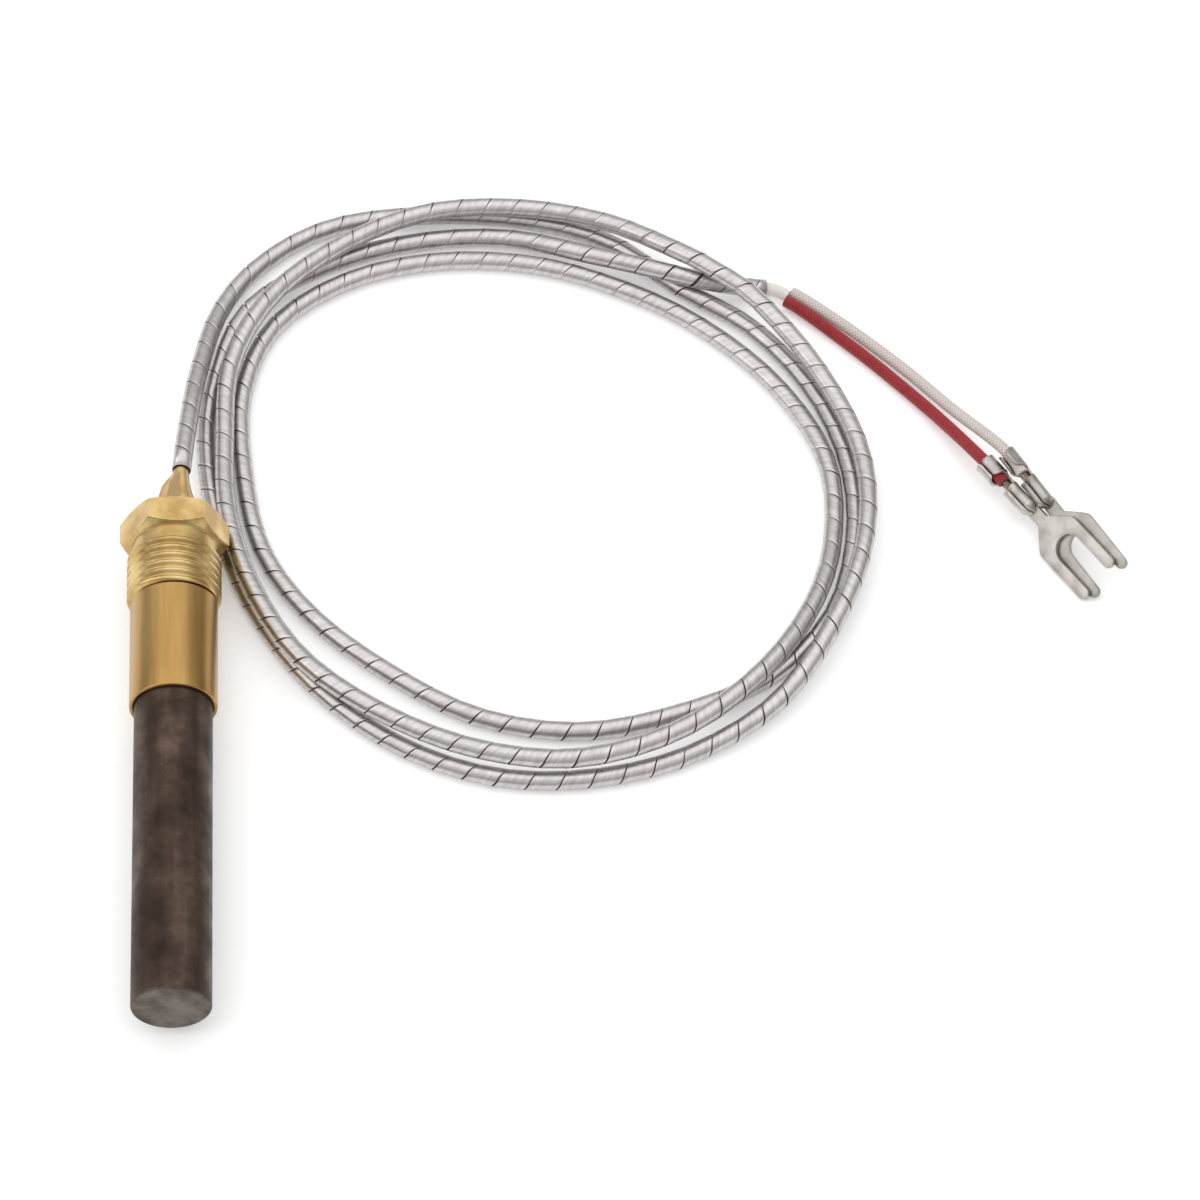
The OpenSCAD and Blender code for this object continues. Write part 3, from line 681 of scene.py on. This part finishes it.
def strands(name, spot):
    """A core strand and six round it, along a terminal."""
    parts = []
    for k in range(strand_count):
        line = []
        for i in range(25):
            x = lead_end - 0.4 + (conductor_end - lead_end + 0.4)*i/24
            a = 2*math.pi*(k/6 + x*mm/strand_lay)
            ring = 0 if k == 6 else 2*strand_r/mm
            line.append(spot @ Vector((x, ring*math.cos(a), barrel_d/2 + ring*math.sin(a))))
        parts.append(round_cord(f"{name}_{k}", line, strand_r, 10, 0.3*mm))
    return joined(name, parts)


# Tinned copper, browned where the heat of stripping and old flux have left it dull
tinned_copper, shader = new_material("tinned_copper_strands", "#9C8A78", 1.0, 0.42)
copper_place = add_node(tinned_copper, "ShaderNodeTexCoord")
copper_spots = add_node(tinned_copper, "ShaderNodeTexNoise", {"Scale": 1400.0, "Detail": 3},
                        {"Vector": copper_place.outputs["Object"]})
copper_tone = add_node(tinned_copper, "ShaderNodeValToRGB", links={"Fac": copper_spots.outputs["Fac"]})
ramp_stops(copper_tone, [(0.35, "#6E5848"), (0.55, "#A08E7C"), (0.75, "#BDB0A2")])
link(tinned_copper, copper_tone.outputs["Color"], shader.inputs["Base Color"])
conductors = {}
for name, spot in (("red", red_place), ("white", white_place)):
    conductors[name] = strands(name + "_strands", spot)
    put_on(conductors[name], tinned_copper, "tinned_wire", name + "_conductor")


# ---------------------------------------------------------------------------
# Fork terminals: stamped from tinned brass strip and rolled up behind the fork into a barrel,
# crimped on the bare strands, and a grip, folded over the braid. The red wire's fork lies on
# the white wire's, whose grip stands half open.
# ---------------------------------------------------------------------------
sheet_t = 0.38
rim = 0.1


def rolled_sheet(name, spot, stations):
    """The rolled part of a terminal. Each station gives its place along, the radius of the roll, how far
    round each edge goes in degrees, the straight length past that, and how far the edges dip inwards."""
    columns, places, span = [], [], 28
    first, last = stations[0][0], stations[-1][0]
    count = round((last - first)/0.1)
    for i in range(count + 1):
        x = first + (last - first)*i/count
        radius, edge, wing, dip = [between(x, [(row[0], row[n]) for row in stations]) for n in (1, 2, 3, 4)]
        edge, middle = math.radians(edge), radius - sheet_t/2
        half_width = middle*edge + wing
        skin_points = {1: [], -1: []}
        for k in range(span + 1):
            w = (2*k/span - 1)*half_width
            a = math.copysign(min(abs(w)/middle, edge), w)
            spare = max(0, abs(w) - middle*edge)*(1 if w > 0 else -1)
            sink = dip*min(1, max(0, (abs(a) - math.radians(120))/math.radians(60)))**2
            for outside, points in skin_points.items():
                # both corners of the sheet's edge are rounded
                corner = 0.35*sheet_t if k in (0, span) else 0
                r = (middle + outside*(sheet_t/2 - corner))*(1 - sink)
                y = r*math.sin(a) + spare*math.cos(a)
                z = radius - r*math.cos(a) + abs(spare)*abs(math.sin(a))
                points.append(spot @ Vector((x, y, z)))
        columns.append(skin_points[1] + skin_points[-1][::-1])
        places.append(x*mm)
    around = [0.1*mm*k for k in range(2*span + 3)]
    return skin(name, columns, places, around)


def fork_blade(name, spot):
    """The flat fork: a narrow root, sloping shoulders and two prongs with round tips."""
    prong = (fork_w - fork_slot)/2
    waist, shoulder = barrel_d*0.46, fork_end - slot_len - 0.6
    slot_root = fork_end - slot_len + fork_slot/2
    tips = [(fork_end - prong/2 + prong/2*math.sin(math.pi*k/10),
             -fork_w/2 + prong/2*(1 - math.cos(math.pi*k/10)))
            for k in range(11)]
    root = [(slot_root - fork_slot/2*math.sin(math.pi*k/16),
             -fork_slot/2*math.cos(math.pi*k/16)) for k in range(17)]
    outline = [(crimp_end - 0.2, -waist), (barrel_end + 1.5, -waist), (shoulder - 0.9, -fork_w/2 + 0.62),
               (shoulder - 0.2, -fork_w/2 + 0.1), (shoulder + 0.5, -fork_w/2)]
    outline += tips + root + [(x, -y) for x, y in tips[::-1]] + [(x, -y) for x, y in outline[::-1]]
    bm = bmesh.new()
    blade = bm.faces.new([bm.verts.new((x, y, 0)) for x, y in outline])
    wall = bmesh.ops.extrude_face_region(bm, geom=[blade])
    bmesh.ops.translate(bm, verts=[v for v in wall["geom"] if isinstance(v, bmesh.types.BMVert)],
                        vec=(0, 0, plate_t))
    bmesh.ops.recalc_face_normals(bm, faces=bm.faces)
    rims = [e for e in bm.edges if abs(e.verts[0].co.z - e.verts[1].co.z) < 1e-6]
    bmesh.ops.bevel(bm, geom=rims, offset=rim, segments=3, profile=0.5, affect="EDGES", material=-1,
                    clamp_overlap=True)
    bmesh.ops.transform(bm, matrix=spot, verts=bm.verts)
    bmesh.ops.triangulate(bm, faces=[f for f in bm.faces if len(f.verts) > 4])
    bmesh.ops.recalc_face_normals(bm, faces=bm.faces)
    return finish_piece(name, bm, 30)


barrel_stations = [
    (barrel_start - 0.35, 1.2, 80, 0.1, 0), (barrel_start - 0.1, 1.25, 112, 0, 0),
    (barrel_start + 0.15, 1.24, 172, 0, 0), (barrel_start + 0.6, 1.2, 176, 0, 0.3),
    (crimp_end - 0.5, 1.2, 176, 0, 0.3), (crimp_end, 1.18, 176, 0, 0.15),
    (crimp_end + 0.35, 1.0, 176, 0, 0), (crimp_end + 0.7, 0.68, 174, 0, 0), (crimp_end + 1, 0.42, 165, 0, 0),
]
closed_grip = [
    (0, 1.52, 166, 0, 0), (0.25, 1.44, 174, 0, 0), (grip_len - 0.6, 1.44, 174, 0, 0), (grip_len - 0.2, 1.5,
                                                                                       150, 0, 0),
    (grip_len + 0.15, 1.2, 84, 0, 0), (grip_len + 0.5, 1.1, 62, 0, 0),
]
open_grip = [
    (0, 1.26, 96, 0.35, 0), (0.3, 1.26, 112, 0.9, 0), (0.8, 1.26, 116, 1.15, 0), (grip_len - 0.7, 1.26, 116,
                                                                                  1.15, 0),
    (grip_len - 0.2, 1.26, 110, 0.85, 0), (grip_len + 0.15, 1.2, 84, 0, 0), (grip_len + 0.5, 1.1, 62, 0, 0),
]


def tin_plate(name, dark, middle, light):
    """Tin plate on brass: a satin grey metal, clouded, with fine scratches along the stamping."""
    material, shader = new_material(name, middle, 1.0, 0.36)
    place = add_node(material, "ShaderNodeTexCoord")
    clouds = add_node(material, "ShaderNodeTexNoise", {"Scale": 420.0, "Detail": 5},
                      {"Vector": place.outputs["Object"]})
    tone = add_node(material, "ShaderNodeValToRGB", links={"Fac": clouds.outputs["Fac"]})
    ramp_stops(tone, [(0.33, dark), (0.52, middle), (0.7, light)])
    link(material, tone.outputs["Color"], shader.inputs["Base Color"])
    rough = add_node(material, "ShaderNodeMapRange", {"To Min": 0.28, "To Max": 0.5},
                     {"Value": clouds.outputs["Fac"]})
    link(material, rough.outputs["Result"], shader.inputs["Roughness"])
    turn = add_node(material, "ShaderNodeMapping",
                    {"Rotation": (0, 0, math.radians(57.3)), "Scale": (350, 6000, 6000)},
                    {"Vector": place.outputs["Object"]})
    scratches = add_node(material, "ShaderNodeTexNoise", {"Scale": 1.0, "Detail": 2},
                         {"Vector": turn.outputs["Vector"]})
    bump = add_node(material, "ShaderNodeBump", {"Strength": 0.25, "Distance": 0.00002},
                    {"Height": scratches.outputs["Fac"]})
    link(material, bump.outputs["Normal"], shader.inputs["Normal"])
    return material


upper_tin = tin_plate("satin_tin_plate", "#A39E99", "#BBB6B1", "#CBC7C2")
# painted shade: the white wire's fork lies under the red one and gets a darker copy of the tin plate
shaded_under_tin = tin_plate("shaded_tin_plate", "#96928C", "#ABA7A1", "#BBB7B1")
for name, spot, grip, material, (lead, line, diameter) in (
        ("red", red_place, closed_grip, upper_tin, leads[0]), ("white", white_place, open_grip, shaded_under_tin,
                                                               leads[1])):
    stations = grip + [(barrel_start - 0.6, 1.05, 62, 0, 0)] + barrel_stations
    terminal = joined(name + "_fork_terminal", [rolled_sheet(name + "_roll", spot, stations),
                                                fork_blade(name + "_blade", spot)])
    put_on(terminal, material, "tinned_brass", name + "_terminal")


# ---------------------------------------------------------------------------
# Bench and light: a plain white bench under large soft lamps.
# ---------------------------------------------------------------------------
bench_mesh = bpy.data.meshes.new("bench")
bench_bm = bmesh.new()
bmesh.ops.create_grid(bench_bm, x_segments=1, y_segments=1, size=3)
bmesh.ops.translate(bench_bm, verts=bench_bm.verts, vec=(0, 0, bench_z - 0.00002))
bench_bm.to_mesh(bench_mesh)
bench_bm.free()
bench = bpy.data.objects.new("bench", bench_mesh)
bpy.context.scene.collection.objects.link(bench)
paper, shader = new_material("matt_white_paper", "#F4F4F4", 0.0, 0.9)
bench.data.materials.append(paper)
# a little of the light comes up through the bench, as from a lightbox
shader.inputs["Emission Color"].default_value = (1, 1, 1, 1)
shader.inputs["Emission Strength"].default_value = 0.25

world = bpy.data.worlds.new("studio")
world.use_nodes = True
# a light tent: bright overhead and dimmer low down, so that round metal darkens towards its edges
tent = world.node_tree.nodes
toward = tent.new("ShaderNodeTexCoord")
toward_split = tent.new("ShaderNodeSeparateXYZ")
tent_light = tent.new("ShaderNodeMapRange")
for socket, value in (("From Min", 0.0), ("From Max", 0.8), ("To Min", 0.3), ("To Max", 0.98)):
    tent_light.inputs[socket].default_value = value
world.node_tree.links.new(toward.outputs["Generated"], toward_split.inputs["Vector"])
world.node_tree.links.new(toward_split.outputs["Z"], tent_light.inputs["Value"])
world.node_tree.links.new(tent_light.outputs["Result"], tent["Background"].inputs["Strength"])
tent["Background"].inputs["Color"].default_value = (1, 1, 1, 1)
bpy.context.scene.world = world
bpy.context.scene.view_settings.view_transform = "Standard"


def lamp(name, place, target, size, power):
    """A large soft lamp that faces a point."""
    data = bpy.data.lights.new(name, "AREA")
    data.shape = "RECTANGLE"
    data.size, data.size_y = size
    data.energy = power
    holder = bpy.data.objects.new(name, data)
    holder.location = place
    holder.rotation_euler = (Vector(target) - Vector(place)).to_track_quat("-Z", "Y").to_euler()
    bpy.context.scene.collection.objects.link(holder)


lamp("top_softbox", (0.05, 0.15, 0.9), (0.05, 0.0, 0), (1.4, 1.1), 2.6)
lamp("left_softbox", (-0.8, -0.1, 0.5), (0.05, 0.0, 0), (0.5, 0.6), 1.2)
